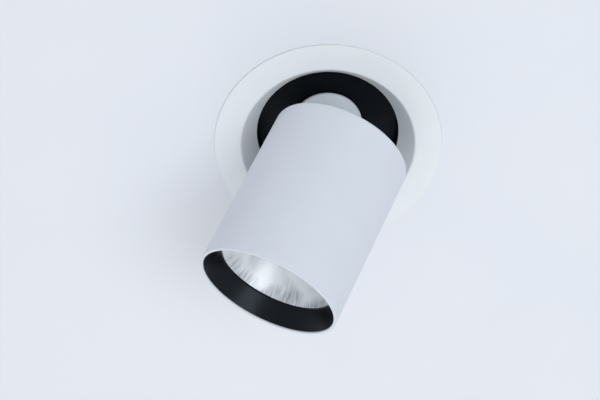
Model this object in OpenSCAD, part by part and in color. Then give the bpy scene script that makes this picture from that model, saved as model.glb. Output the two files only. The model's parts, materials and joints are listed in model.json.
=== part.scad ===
// Adjustable recessed downlight: a tubular spotlight head on a turning and tilting arm, hung in a
// round trim that clips into a cut-out in the ceiling. Millimetres. The origin is the centre of the
// flange's back face, on the ceiling's surface, and +Z points up into the ceiling void. The head
// tilts towards +X and is drawn at the tilt that it is shown at.

/* [Trim ring] */
// Diameter of the cut-out in the ceiling
cutout_d = 115; // [114:1:118]
// Cover of the flange round the cut-out
flange_cover = 5; // [4:0.5:10]
// Thickness of the flange at its inner lip
flange_t = 1.6; // [1.3:0.1:2.2]
// Thickness of the flange at its outer edge
flange_edge_t = 1.0; // [0.6:0.1:1.2]
// Diameter of the well at the top of the cone
well_d = 79; // [78:0.2:80]
// How far the cone opens from the well to the flange
cone_run = 8; // [7:0.1:9.4]
// Height of the cone's top above the ceiling's surface
cone_h = 11.9; // [11.5:0.1:13]
// Wall of the cone, measured across it
cone_wall = 2.2; // [1.6:0.2:2.6]
// Radius of the cone's lip
lip_r = 1.2; // [0.6:0.2:1.4]
// Width of the rim that the can stands on
seat_w = 5; // [4.2:0.2:5.4]

/* [Well can] */
// Height of the well's ceiling above the ceiling's surface
well_h = 25.1; // [24.7:0.2:31.1]
// Sheet of the can
can_t = 1.5; // [1.2:0.1:2]
// Corner radius of the can, inside
can_corner_r = 2.5; // [1:0.5:4]
// Distance of the can's screws outside its rim
can_screw_out = 3.7; // [3.5:0.1:4.2]

/* [Turret] */
// Diameter of the turning disc
disc_d = 39; // [34:0.5:46]
// Thickness of the disc
disc_t = 1.6; // [1.4:0.1:2.2]
// Bevel on the disc's rim
disc_bevel = 0.6; // [0.3:0.1:1]
// Outer diameter of the hollow spindle
spindle_d = 10; // [9:0.5:11]
// Bore of the spindle, for the leads
spindle_bore_d = 7; // [5:0.5:7.5]
// Diameter of the arm's foot
foot_d = 24; // [22.5:0.5:26]
// Thickness of the arm's foot
foot_t = 6; // [5:0.5:7]
// Spacing of the foot's two screws
foot_screw_spacing = 17; // [16.5:0.5:17.5]
// Circle of the pan stop's peg
stop_circle_d = 29; // [27:0.5:34]
// Diameter of the peg
stop_peg_d = 2.4; // [1.6:0.2:2.6]
// Width of the stop washer's finger
stop_finger_w = 2.4; // [1.6:0.2:2.6]

/* [Arm and tilt joint] */
// Depth of the tilt pin's axis below the ceiling's surface
pivot_drop = 27.5; // [27:0.5:30]
// Width of the arm, in the plane of the tilt
arm_w = 12; // [10:0.5:13]
// Thickness of the arm, along the pin
arm_t = 8; // [7:0.5:9]
// Diameter of the arm's eye
eye_d = 16; // [14:0.5:17]
// Diameter of the tilt pin
pin_d = 6; // [5:0.5:7]
// Thickness of each ear of the yoke
ear_t = 3; // [2:0.5:4]
// Thickness of the friction washers beside the eye
tilt_washer_t = 0.8; // [0.5:0.1:1.2]
// Tilt that the head is shown at
rest_tilt = 35; // [20:0.5:45]
// Greatest tilt
max_tilt = 70; // [55:1:70]

/* [Head] */
// Outer diameter of the head
head_d = 76.5; // [74.5:0.5:77]
// Length of the head
head_l = 96.4; // [94:0.2:110]
// Wall of the tube
head_wall = 1.5; // [1.3:0.1:2]
// Thickness of the closed back
back_t = 2.5; // [2:0.1:3.2]
// Radius of the back's outer corner
back_corner_r = 3; // [1.5:0.5:4]
// Distance from the back's outer face to the tilt pin
pivot_setback = 17.9; // [16.9:0.1:18.5]

/* [Heat sink] */
// Distance from the tilt pin to the yoke's seat
seat_drop = 16; // [15:0.5:18]
// Height of the pedestal under the yoke
pedestal_h = 10; // [9:0.5:13]
// Margin of the pedestal round the yoke's corners
pedestal_margin = 0.5; // [0.4:0.1:2]
// Thickness of the sink's base
sink_base_t = 6; // [4:0.5:7]
// Number of cooling fins
fins = 20; // [12:2:24]
// Thickness of a fin
fin_t = 1.4; // [1:0.1:1.8]
// Height of the fins
fin_h = 14; // [6:1:15]
// Distance of the back's posts from the sink's edge
post_inset = 3.1; // [2.5:0.1:4]

/* [Light engine] */
// Side of the square light board
board_w = 19; // [17:0.5:20]
// Thickness of the light board
board_t = 1.6; // [1:0.1:1.8]
// Diameter of the lit area
emitter_d = 14.5; // [12:0.5:15]
// Diameter of the board's holder
holder_d = 44; // [42:0.5:48]
// Thickness of the holder
holder_t = 5; // [4.5:0.5:6]
// Diameter of the reflector's neck
neck_d = 17; // [16:0.5:18]
// Sheet of the reflector
reflector_t = 1.2; // [0.8:0.1:1.4]
// Depth of the baffle behind the mouth
baffle_depth = 11; // [9:0.2:12.4]
// Inner diameter of the baffle
baffle_bore_d = 62.6; // [59:0.2:64]
// Sheet of the baffle
baffle_t = 1.2; // [0.8:0.1:1.6]
// Length of the baffle's skirt
baffle_skirt_l = 15.7; // [13:0.1:18]

/* [Ceiling clips] */
// Gap between the clip brackets and the can's rim
clip_gap = 0.2; // [0.2:0.1:0.8]
// Height of the clip pins above the ceiling's surface
clip_pin_h = 20.5; // [20:0.5:23]
// Diameter of a clip pin
clip_pin_d = 3; // [2.6:0.1:3.2]
// Width of a wing at its root
wing_w = 19; // [18:0.5:22]
// Width of a wing at its tip
wing_tip_w = 11; // [8:0.5:14]
// Reach of a wing past its pin
wing_l = 40; // [36:1:46]
// Sheet of the wings
wing_t = 1.0; // [0.8:0.1:1.2]
// Drop of a wing from its root to its tip
wing_drop = 9; // [7:0.5:10]
// Sheet of the clip brackets
bracket_t = 1.2; // [1:0.1:1.6]
// Wire of the torsion springs
wire_d = 1.2; // [1:0.1:1.3]
// Wall of the wing tips' sleeves
sleeve_t = 0.8; // [0.6:0.1:1.2]

/* [Screws] */
// Diameter of every screw's shank
screw_d = 3; // [2.6:0.1:3.2]
// Diameter of every screw's head
screw_head_d = 5.5; // [5:0.1:5.7]
// Height of every screw's head
screw_head_h = 1.8; // [1.4:0.1:2]
// Depth that a screw bites into its boss
screw_bite = 6; // [4:0.5:7]

/* [Clearances] */
// Radial clearance of a pin or screw in its hole
fit_gap = 0.05; // [0.02:0.01:0.1]
// Gap between faces that slide on each other
slide_gap = 0.2; // [0.1:0.05:0.3]
// Gap between the head's slot and the arm
slot_gap = 1; // [0.6:0.1:1.4]
// Gap round the parts that drop into the head's tube
tube_gap = 0.1; // [0.05:0.05:0.3]

/* [Hidden] */
$fn = 64;
cut = 1;
hole_spare = 0.5;
screw_socket_across = 2.4;
screw_socket_depth = 1.1;

// Trim and can
flange_r = cutout_d / 2 + flange_cover;
well_r = well_d / 2;
throat_r = well_r + cone_run;
lip_top_z = lip_r - flange_t;
cone_rise = cone_h - lip_top_z;
cone_wall_across = cone_wall * norm([cone_run, cone_rise]) / cone_rise;
rim_t = 2;
seat_r = well_r + seat_w;
can_step = 0.3;
can_r = well_r + can_step;
can_screw_r = seat_r + can_screw_out;
can_screw_angles = [0, 120, 240];
can_lug_d = 9;
can_top_z = well_h + can_t;
peg_seat_z = well_h + can_t / 3;
boss_d = 8;

// Turret, from the well's ceiling down and up
bush_flange_t = 0.8;
bush_flange_d = 24;
bush_wall = 1;
bush_stand = 0.2;
washer_t = 0.8;
washer_d = 18;
stop_washer_t = 1;
spring_washer_h = 1.4;
nut_t = 5;
nut_across = 17;
spindle_stand = 2.4;
grommet_lip = 1;
grommet_l = 5;
grommet_wall = 1.2;
spindle_r = spindle_d / 2;
disc_top_z = well_h - bush_flange_t - slide_gap;
disc_low_z = disc_top_z - disc_t;
foot_low_z = disc_low_z - foot_t;
bush_top_z = can_top_z + bush_stand;
top_washer_z = bush_top_z + slide_gap;
stop_washer_z = top_washer_z + washer_t;
spring_washer_z = stop_washer_z + stop_washer_t;
nut_z = spring_washer_z + spring_washer_h;
spindle_top_z = nut_z + nut_t + spindle_stand;
foot_floor_t = 2;
socket_depth = foot_t - foot_floor_t;

// Tilt joint, in the head's own frame: origin on the tilt pin, +Z towards the head's back
pin_r = pin_d / 2;
ear_in_y = arm_t / 2 + slide_gap / 2 + tilt_washer_t;
ear_out_y = ear_in_y + ear_t;
pin_head_d = 10;
pin_head_t = 3;
tilt_nut_across = 10;
tilt_nut_t = 4;
pin_stand = 1;
yoke_base_t = 3;
yoke_base_lip = 1;
yoke_half_l = eye_d / 2 + yoke_base_lip;
yoke_screw_spacing = 11;
groove_w = 4;
groove_depth = 5;

// Head, in the same frame
head_r = head_d / 2;
bore_r = head_r - head_wall;
back_z = pivot_setback;
back_in_z = back_z - back_t;
mouth_z = back_z - head_l;
slot_half_w = arm_t / 2 + slot_gap;
slot_end_x = -arm_w / 2 - slot_gap;
// Height at which the arm's lower edge crosses the tube's inner wall at the greatest tilt
arm_edge_z = (bore_r - arm_w / 2 * cos(max_tilt)) / tan(max_tilt) - arm_w / 2 * sin(max_tilt);
slot_low_z = arm_edge_z - slot_gap;
sink_r = bore_r - tube_gap;
sink_top_z = -seat_drop - pedestal_h;
pedestal_r = norm([yoke_half_l, ear_out_y]) + pedestal_margin;
sink_low_z = sink_top_z - sink_base_t;
post_d = 7;
post_r = sink_r - post_inset - post_d / 2;
fin_inset = 1;
fin_root = 0.2;
lead_hole_d = 5;
post_angles = [60, 180, 300];
holder_low_z = sink_low_z - holder_t;
holder_screw_spacing = 32;
sink_skin = 1;
holder_screw_l = holder_t + sink_base_t - sink_skin;
emitter_t = 0.5;
pocket_gap = 0.2;
neck_r = neck_d / 2;
baffle_r = bore_r - tube_gap;
baffle_bore_r = baffle_bore_d / 2;
baffle_inset = 0.3;
baffle_mouth_z = mouth_z + baffle_inset;
baffle_in_z = mouth_z + baffle_depth;
baffle_rim_t = 1;
baffle_rim_w = 1.4;
reflector_out_z = baffle_in_z + baffle_rim_t;
reflector_step = 0.2;
reflector_mouth_r = baffle_bore_r - reflector_step;
reflector_rim_r = baffle_r - baffle_t - slide_gap;
reflector_rim_t = 1;
reflector_steps = 10;

// Clips
clip_names = ["a", "b"];
clip_angles = [90, 270];
clip_pin_r = clip_pin_d / 2;
knuckle_r = clip_pin_r + fit_gap + wing_t;
knuckle_w = 3.9;
ear_gap = 0.4;
bracket_in_y = wing_w / 2 + ear_gap;
bracket_out_y = bracket_in_y + bracket_t;
bracket_ear_r = 3.5;
clip_r = seat_r + clip_gap + bracket_ear_r;
bracket_base_out = 4.5;
pad_r = clip_r + bracket_base_out;
bracket_base_z = cone_h + bracket_t - clip_pin_h;
rivet_head_d = 4.8;
rivet_head_t = 0.8;
wing_flat_l = 16;
wing_ski_l = 6;
wing_ski_rise = 1.5;
window_half_w = wing_w / 2 - knuckle_w;
window_l = 7.5;
sleeve_l = 9;
coil_pin_gap = 0.3;
coil_r = clip_pin_r + coil_pin_gap + wire_d / 2;
coil_turns = 4.25;
coil_rings = 12;
coil_sides = 6;
coil_side_gap = 0.4;
coil_half_w = window_half_w - wire_d / 2 - coil_side_gap;
coil_leg_l = 5.4;
coil_leg_shares = [0.45, 1, 1.8];

// Points of an arc, centre c and radius r, from angle a to angle b
function arc(c, r, a, b, steps = 6) =
  [for (i = [0 : steps]) c + r * [cos(a + (b - a) * i / steps), sin(a + (b - a) * i / steps)]];

// Inner radius of the cone at height z
function cone_r(z) = throat_r - cone_run * (z - lip_top_z) / cone_rise;

module tube(r, hole_r, h) {
  difference() {
    cylinder(r = r, h = h);
    translate([0, 0, -cut]) cylinder(r = hole_r, h = h + 2 * cut);
  }
}

module hex(across, h) {
  cylinder(d = across / cos(30), h = h, $fn = 6);
}

// Cap screw with its head above z = 0 and a shank of length l below
module screw(l) {
  difference() {
    union() {
      cylinder(d = screw_head_d, h = screw_head_h);
      translate([0, 0, -l]) cylinder(d = screw_d, h = l + screw_head_h / 2);
    }
    translate([0, 0, screw_head_h - screw_socket_depth]) hex(screw_socket_across, screw_head_h);
  }
}

// Hole for such a screw, deeper than its shank
module screw_hole(l) {
  translate([0, 0, -l - hole_spare]) cylinder(d = screw_d + 2 * fit_gap, h = l + hole_spare + cut);
}

// White die-cast ring: flange, cone, and the bosses that the can and the clips are fixed to
module trim_ring() {
  outer_low_r = cone_r(0) + cone_wall_across;
  outer_high_r = cone_r(cone_h - rim_t) + cone_wall_across;
  lip_c = [throat_r + lip_r, lip_top_z];
  profile = concat(
    [[flange_r, 0], [flange_r, -flange_edge_t]],
    arc(lip_c, lip_r, -90, -180),
    [[well_r, cone_h], [seat_r, cone_h], [seat_r, cone_h - rim_t]],
    [[outer_high_r, cone_h - rim_t], [outer_low_r, 0]]
  );
  color("white") difference() {
    union() {
      rotate_extrude() polygon(profile);
      difference() {
        union() {
          can_screw_places() translate([0, 0, -can_t - cone_h]) lug(boss_d, cone_h);
          for (a = clip_angles) rotate(a) translate([well_r, -bracket_out_y, 0])
            cube([pad_r - well_r, 2 * bracket_out_y, cone_h]);
        }
        translate([0, 0, -cut]) cylinder(r1 = cone_r(-cut) + cone_wall_across / 2,
          r2 = cone_r(cone_h + cut) + cone_wall_across / 2, h = cone_h + 2 * cut);
      }
    }
    can_screw_places() screw_hole(can_t + screw_bite);
    for (a = clip_angles) rotate(a) translate([clip_r, 0, cone_h + bracket_t])
      screw_hole(bracket_t + screw_bite);
  }
}

// Places of the can's screws, at the top of the can's rim
module can_screw_places() {
  for (a = can_screw_angles) rotate(a)
    translate([can_screw_r, 0, cone_h + can_t]) children();
}

// Round lug on such a place, joined straight to the well's wall
module lug(d, h) {
  cylinder(d = d, h = h);
  translate([well_r + can_t - can_screw_r, -d / 2, 0]) cube([can_screw_r - well_r - can_t, d, h]);
}

// Black deep-drawn can that closes the well, with a rim and three lugs
module well_can() {
  outer_r = can_r + can_t;
  roof_c = [can_r - can_corner_r, well_h - can_corner_r];
  profile = concat(
    [[can_r, cone_h]],
    arc(roof_c, can_corner_r, 0, 90),
    [[0, well_h], [0, can_top_z]],
    arc(roof_c, can_corner_r + can_t, 90, 0),
    [[outer_r, cone_h + can_t], [seat_r, cone_h + can_t], [seat_r, cone_h]]
  );
  color("#141414") difference() {
    union() {
      rotate_extrude() polygon(profile);
      can_screw_places() translate([0, 0, -can_t]) lug(can_lug_d, can_t);
    }
    cylinder(r = spindle_r + fit_gap + bush_wall + fit_gap, h = can_top_z + cut);
    can_screw_places() screw_hole(can_t + screw_bite);
    translate([stop_circle_d / 2, 0, peg_seat_z]) cylinder(d = stop_peg_d + 2 * fit_gap, h = can_t);
  }
}

module can_screws() {
  color("silver") can_screw_places() screw(can_t + screw_bite);
}

// Nylon bearing of the pan spindle, flanged under the well's ceiling
module pan_bush() {
  color("ivory") difference() {
    union() {
      translate([0, 0, well_h - bush_flange_t]) cylinder(d = bush_flange_d, h = bush_flange_t);
      translate([0, 0, well_h - cut / 2])
        cylinder(r = spindle_r + fit_gap + bush_wall, h = bush_top_z - well_h + cut / 2);
    }
    translate([0, 0, well_h - bush_flange_t - cut])
      cylinder(r = spindle_r + fit_gap, h = bush_flange_t + can_t + bush_stand + 2 * cut);
  }
}

// Peg on the can's roof that ends the turn
module pan_stop() {
  peg_top_z = spring_washer_z + spring_washer_h / 2;
  color("silver") translate([stop_circle_d / 2, 0, peg_seat_z])
    cylinder(d = stop_peg_d, h = peg_top_z - peg_seat_z);
}

// Frame of a clip: origin on its pin, +X away from the centre, the pin along Y
module at_clip(name) {
  rotate(clip_angles[name == "a" ? 0 : 1]) translate([clip_r, 0, clip_pin_h]) children();
}

module at_clips() {
  for (name = clip_names) at_clip(name) children();
}

module clip_bracket(name) {
  color("silver") at_clip(name) difference() {
    union() {
      translate([-bracket_ear_r, -bracket_out_y, bracket_base_z - bracket_t])
        cube([bracket_ear_r + bracket_base_out, 2 * bracket_out_y, bracket_t]);
      for (side = [-1, 1]) translate([0, side * (bracket_in_y + bracket_t / 2), 0]) rotate([90, 0, 0])
        linear_extrude(bracket_t, center = true) {
          circle(r = bracket_ear_r);
          translate([-bracket_ear_r, bracket_base_z - bracket_t])
            square([2 * bracket_ear_r, bracket_t - bracket_base_z]);
        }
    }
    rotate([90, 0, 0]) cylinder(r = clip_pin_r + fit_gap, h = 3 * wing_w, center = true);
    translate([0, 0, bracket_base_z]) screw_hole(bracket_t + screw_bite);
  }
}

module bracket_screws() {
  color("silver") at_clips() translate([0, 0, bracket_base_z]) screw(bracket_t + screw_bite);
}

// Rivets that the wings turn on, headed outside both ears
module clip_pins() {
  color("silver") at_clips() rotate([90, 0, 0]) {
    cylinder(r = clip_pin_r, h = 2 * bracket_out_y, center = true);
    for (side = [-1, 1]) translate([0, 0, side * (bracket_out_y + rivet_head_t / 2)])
      cylinder(d = rivet_head_d, h = rivet_head_t, center = true);
  }
}

// Centre line of a wing, seen along its pin: flat root, sloping blade and turned-up end
wing_line_z = knuckle_r - wing_t / 2;
wing_line = [
  [0, wing_line_z],
  [wing_flat_l, wing_line_z],
  [wing_l - wing_ski_l, wing_line_z - wing_drop],
  [wing_l, wing_line_z - wing_drop + wing_ski_rise]
];

function unit(v) = v / norm(v);
function turn_left(v) = [-v[1], v[0]];

// Offset of a line's point i to its left by d, mitred at the bends
function side_point(line, i, d) =
  let (
    before = unit(line[max(i, 1)] - line[max(i, 1) - 1]),
    after = unit(line[min(i + 1, len(line) - 1)] - line[min(i, len(line) - 2)]),
    across = unit(turn_left(before + after))
  ) line[i] + across * d / (across * turn_left(before));

// Strip of sheet along a line, as an outline
function strip(line, t) = concat(
  [for (i = [0 : len(line) - 1]) side_point(line, i, t / 2)],
  [for (i = [len(line) - 1 : -1 : 0]) side_point(line, i, -t / 2)]
);

module strip_along(line, t, w) {
  rotate([90, 0, 0]) linear_extrude(w, center = true) polygon(strip(line, t));
}

// Blade of a wing, tapering to its tip, with a window for the spring
module wing_blade() {
  half_w = wing_w / 2;
  tip_half_w = wing_tip_w / 2;
  plan = [[0, -half_w], [wing_flat_l, -half_w], [wing_l + cut, -tip_half_w],
          [wing_l + cut, tip_half_w], [wing_flat_l, half_w], [0, half_w]];
  intersection() {
    strip_along(wing_line, wing_t, wing_w);
    translate([0, 0, -wing_l]) linear_extrude(2 * wing_l) difference() {
      polygon(plan);
      translate([-cut, -window_half_w]) square([window_l + cut, 2 * window_half_w]);
    }
  }
}

// Spring-steel wing that folds up to pass the cut-out and presses down on the ceiling
module clip_wing(name) {
  color("lightsteelblue") at_clip(name) difference() {
    union() {
      wing_blade();
      for (side = [-1, 1]) translate([0, side * (wing_w / 2 - knuckle_w / 2), 0]) rotate([90, 0, 0])
        cylinder(r = knuckle_r, h = knuckle_w, center = true);
    }
    rotate([90, 0, 0]) cylinder(r = clip_pin_r + fit_gap, h = 2 * wing_w, center = true);
  }
}

// Soft sleeve over the wing's end, closed at the tip
module wing_sleeve(name) {
  end = wing_line[3];
  bend = wing_line[2];
  start = bend + unit(wing_line[1] - bend) * (sleeve_l - wing_ski_l);
  tip = end + unit(end - bend) * sleeve_t;
  w = wing_tip_w + 2 * (wing_w - wing_tip_w) / (wing_l - wing_flat_l) * sleeve_l + 2 * sleeve_t;
  color("gray") at_clip(name) difference() {
    strip_along([start, bend, tip], wing_t + 2 * sleeve_t, w);
    wing_blade();
  }
}

// Path of a torsion spring: leg down to the bracket, coil round the pin, leg out over the blade
coil_path = concat(
  [[-coil_r, -coil_half_w, -coil_leg_l], [-coil_r, -coil_half_w, -coil_leg_l / 2]],
  [for (i = [0 : coil_turns * coil_rings])
    let (a = 180 - 360 * i / coil_rings)
    [coil_r * cos(a), -coil_half_w + 2 * coil_half_w * i / (coil_turns * coil_rings), coil_r * sin(a)]],
  [for (x = coil_leg_shares) [window_l * x, coil_half_w, knuckle_r + wire_d / 2 + slide_gap * min(x, 1)]]
);

// Ring of a round tube at point i of a path that never runs along Y
function wire_ring(path, i, r, sides) =
  let (
    along = unit(path[min(i + 1, len(path) - 1)] - path[max(i - 1, 0)]),
    u = unit([0, 1, 0] - along[1] * along),
    v = cross(along, u)
  ) [for (k = [0 : sides - 1]) path[i] + r * (u * cos(360 * k / sides) + v * sin(360 * k / sides))];

module wire(path, r, sides) {
  rings = len(path);
  points = [for (i = [0 : rings - 1]) each wire_ring(path, i, r, sides)];
  ends = [[for (k = [0 : sides - 1]) k], [for (k = [sides - 1 : -1 : 0]) (rings - 1) * sides + k]];
  walls = [for (i = [0 : rings - 2], k = [0 : sides - 1])
    let (n = (k + 1) % sides, low = i * sides, high = low + sides)
    each [[low + k, high + k, high + n], [low + k, high + n, low + n]]];
  polyhedron(points, concat(ends, walls), convexity = 8);
}

// Least gap between turns of a coil, on the points of its path half a turn or more apart
function least_gap(path, apart, d) =
  let (last = len(path) - 1)
  min([for (i = [0 : last - apart], j = [i + apart : last]) norm(path[i] - path[j])]) - d;

module clip_spring(name) {
  color("slategray") at_clip(name) wire(coil_path, wire_d / 2, coil_sides);
}

// White disc that turns under the well's ceiling
module turret_disc() {
  color("white") difference() {
    rotate_extrude() polygon([
      [0, disc_low_z], [disc_d / 2 - disc_bevel, disc_low_z], [disc_d / 2, disc_low_z + disc_bevel],
      [disc_d / 2, disc_top_z], [0, disc_top_z]
    ]);
    translate([0, 0, disc_low_z - cut]) cylinder(r = spindle_r + fit_gap, h = disc_t + 2 * cut);
    foot_screw_places() screw_hole(foot_t + disc_t);
  }
}

// Hollow spindle that hangs the arm from the can and lets the leads through
module spindle() {
  low_z = foot_low_z + foot_t - socket_depth;
  color("gold") translate([0, 0, low_z]) tube(spindle_r, spindle_bore_d / 2, spindle_top_z - low_z);
}

module top_washer() {
  color("ivory") translate([0, 0, top_washer_z]) tube(washer_d / 2, spindle_r + fit_gap, washer_t);
}

// Washer with a finger that meets the peg at both ends of the turn
module stop_washer() {
  color("silver") translate([0, 0, stop_washer_z]) difference() {
    union() {
      cylinder(d = washer_d, h = stop_washer_t);
      translate([-stop_circle_d / 2 - stop_peg_d / 2, -stop_finger_w / 2, 0])
        cube([stop_circle_d / 2 + stop_peg_d / 2, stop_finger_w, stop_washer_t]);
    }
    translate([0, 0, -cut]) cylinder(r = spindle_r + fit_gap, h = stop_washer_t + 2 * cut);
  }
}

// Conical washer that keeps the friction on the turn
module spring_washer() {
  hole_r = spindle_r + fit_gap;
  color("dimgray") translate([0, 0, spring_washer_z]) rotate_extrude() polygon([
    [hole_r, spring_washer_h / 2], [washer_d / 2, 0],
    [washer_d / 2, spring_washer_h / 2], [hole_r, spring_washer_h]
  ]);
}

module spindle_nut() {
  color("gold") translate([0, 0, nut_z]) difference() {
    hex(nut_across, nut_t);
    translate([0, 0, -cut]) cylinder(r = spindle_r + fit_gap, h = nut_t + 2 * cut);
  }
}

// Rubber grommet in the spindle's top, where the leads go in
module lead_grommet() {
  plug_r = spindle_bore_d / 2 - fit_gap;
  color("#202020") translate([0, 0, spindle_top_z - grommet_l]) difference() {
    union() {
      cylinder(r = plug_r, h = grommet_l + grommet_lip);
      translate([0, 0, grommet_l]) cylinder(r = spindle_r, h = grommet_lip);
    }
    translate([0, 0, -cut]) cylinder(r = plug_r - grommet_wall, h = grommet_l + grommet_lip + 2 * cut);
  }
}

// Places of the foot's screws, on the foot's underside with the screws pointing up
module foot_screw_places() {
  for (side = [-1, 1]) translate([0, side * foot_screw_spacing / 2, foot_low_z])
    mirror([0, 0, 1]) children();
}

module foot_screws() {
  color("silver") foot_screw_places() screw(foot_t + disc_t);
}

// Arm: round foot under the disc, flat bar and round eye on the tilt pin, with a channel for the leads
module tilt_arm() {
  color("white") difference() {
    union() {
      translate([0, 0, foot_low_z]) cylinder(d = foot_d, h = foot_t);
      translate([-arm_w / 2, -arm_t / 2, -pivot_drop]) cube([arm_w, arm_t, pivot_drop + foot_low_z + cut]);
      translate([0, 0, -pivot_drop]) rotate([90, 0, 0]) cylinder(d = eye_d, h = arm_t, center = true);
    }
    translate([0, 0, -pivot_drop]) rotate([90, 0, 0])
      cylinder(r = pin_r + fit_gap, h = arm_t + 2 * cut, center = true);
    translate([0, 0, disc_low_z - socket_depth]) cylinder(r = spindle_r + fit_gap, h = socket_depth + cut);
    translate([-arm_w / 2 - cut, -groove_w / 2, eye_d / 2 - pivot_drop])
      cube([groove_depth + cut, groove_w, pivot_drop - eye_d / 2 + disc_low_z - socket_depth + cut]);
    foot_screw_places() screw_hole(foot_t + disc_t);
  }
}

// Frame of the head: origin on the tilt pin, +Z towards the head's back, turned to the tilt shown
module in_head() {
  translate([0, 0, -pivot_drop]) rotate([0, -rest_tilt, 0]) children();
}

// White tube, closed and rounded at the back, slotted for the arm
module head_shell() {
  corner_c = [head_r - back_corner_r, back_z - back_corner_r];
  profile = concat(
    [[bore_r, mouth_z], [head_r, mouth_z]],
    arc(corner_c, back_corner_r, 0, 90),
    [[0, back_z], [0, back_in_z], [bore_r, back_in_z]]
  );
  color("gainsboro") in_head() difference() {
    rotate_extrude() polygon(profile);
    translate([slot_end_x, -slot_half_w, slot_low_z])
      cube([head_r - slot_end_x + cut, 2 * slot_half_w, back_z - slot_low_z + cut]);
    back_screw_places() screw_hole(back_t + screw_bite);
  }
}

module back_screw_places() {
  for (a = post_angles) rotate(a) translate([post_r, 0, back_z]) children();
}

module back_screws() {
  color("silver") in_head() back_screw_places() screw(back_t + screw_bite);
}

// Heat sink: base, radial fins, pedestal for the yoke and posts up to the head's back
module heat_sink() {
  color("darkgray") in_head() difference() {
    union() {
      translate([0, 0, sink_low_z]) cylinder(r = sink_r, h = sink_base_t);
      translate([0, 0, sink_low_z]) cylinder(r = pedestal_r, h = sink_base_t + pedestal_h);
      back_screw_places() translate([0, 0, -back_t - back_in_z + sink_low_z])
        cylinder(d = post_d, h = back_in_z - sink_low_z);
      for (i = [0 : fins - 1]) rotate((i + 0.5) * 360 / fins)
        translate([pedestal_r - fin_root, -fin_t / 2, sink_top_z - cut])
          cube([sink_r - fin_inset - pedestal_r + fin_root, fin_t, fin_h + cut]);
    }
    back_screw_places() screw_hole(back_t + screw_bite);
    yoke_screw_places() screw_hole(yoke_base_t + screw_bite);
    holder_screw_places() screw_hole(holder_screw_l);
    rotate(90) translate([pedestal_r + lead_hole_d, 0, sink_low_z - cut])
      cylinder(d = lead_hole_d, h = sink_base_t + 2 * cut);
  }
}

// Steel yoke whose two ears carry the tilt pin
module yoke() {
  ear_r = eye_d / 2;
  color("silver") in_head() difference() {
    union() {
      translate([-yoke_half_l, -ear_out_y, -seat_drop]) cube([2 * yoke_half_l, 2 * ear_out_y, yoke_base_t]);
      for (side = [-1, 1]) translate([0, side * (ear_in_y + ear_t / 2), 0]) rotate([90, 0, 0])
        linear_extrude(ear_t, center = true) {
          circle(r = ear_r);
          translate([-ear_r, -seat_drop]) square([2 * ear_r, seat_drop]);
        }
    }
    rotate([90, 0, 0]) cylinder(r = pin_r + fit_gap, h = 2 * ear_out_y + 2 * cut, center = true);
    yoke_screw_places() screw_hole(yoke_base_t + screw_bite);
  }
}

module yoke_screw_places() {
  for (side = [-1, 1]) translate([side * yoke_screw_spacing / 2, 0, yoke_base_t - seat_drop]) children();
}

module yoke_screws() {
  color("silver") in_head() yoke_screw_places() screw(yoke_base_t + screw_bite);
}

// Friction washer between the arm's eye and an ear
module tilt_washer(side) {
  color("ivory") in_head() translate([0, side * (ear_in_y - tilt_washer_t / 2), 0]) rotate([90, 0, 0])
    translate([0, 0, -tilt_washer_t / 2]) tube(eye_d / 2, pin_r + fit_gap, tilt_washer_t);
}

// Headed pin through both ears and the eye
module tilt_pin() {
  reach = ear_out_y + tilt_nut_t + pin_stand;
  color("silver") in_head() rotate([-90, 0, 0]) {
    translate([0, 0, -ear_out_y - pin_head_t]) cylinder(d = pin_head_d, h = pin_head_t);
    translate([0, 0, -ear_out_y - cut]) cylinder(r = pin_r, h = ear_out_y + reach + cut);
  }
}

module tilt_nut() {
  color("silver") in_head() rotate([-90, 0, 0]) translate([0, 0, ear_out_y]) difference() {
    hex(tilt_nut_across, tilt_nut_t);
    translate([0, 0, -cut]) cylinder(r = pin_r + fit_gap, h = tilt_nut_t + 2 * cut);
  }
}

module light_board() {
  color("whitesmoke") in_head() translate([-board_w / 2, -board_w / 2, sink_low_z - board_t])
    cube([board_w, board_w, board_t]);
}

// Lit disc on the board
module emitter() {
  color("khaki") in_head() translate([0, 0, sink_low_z - board_t - emitter_t])
    cylinder(d = emitter_d, h = emitter_t);
}

// Holder that clamps the board to the sink and centres the reflector
module board_holder() {
  pocket_w = board_w + 2 * pocket_gap;
  color("whitesmoke") in_head() difference() {
    translate([0, 0, holder_low_z]) cylinder(d = holder_d, h = holder_t);
    translate([0, 0, holder_low_z - cut]) cylinder(r = neck_r, h = holder_t + 2 * cut);
    translate([-pocket_w / 2, -pocket_w / 2, sink_low_z - board_t])
      cube([pocket_w, pocket_w, board_t + cut]);
    holder_screw_places() screw_hole(holder_screw_l);
  }
}

// Places of the holder's screws, on its front with the screws pointing back
module holder_screw_places() {
  for (side = [-1, 1]) translate([side * holder_screw_spacing / 2, 0, holder_low_z])
    mirror([0, 0, 1]) children();
}

module holder_screws() {
  color("silver") in_head() holder_screw_places() screw(holder_screw_l);
}

// Inner radius of the reflector, a parabola from neck to mouth, at share k of its length
function reflector_r(k) = sqrt(neck_r ^ 2 + (reflector_mouth_r ^ 2 - neck_r ^ 2) * k);

// Bright parabolic reflector with a rim that sits on the baffle
module reflector() {
  length = holder_low_z - reflector_out_z;
  function at(k, out) = [reflector_r(k) + out, holder_low_z - length * k];
  inner = [for (i = [0 : reflector_steps]) at(i / reflector_steps, 0)];
  rim = [[reflector_rim_r, reflector_out_z],
         [reflector_rim_r, reflector_out_z + reflector_rim_t],
         [reflector_mouth_r + reflector_t, reflector_out_z + reflector_rim_t]];
  outer = [for (i = [reflector_steps - 1 : -1 : 0]) at(i / reflector_steps, reflector_t)];
  color("lightgray") in_head() rotate_extrude() polygon(concat(inner, rim, outer));
}

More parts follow.
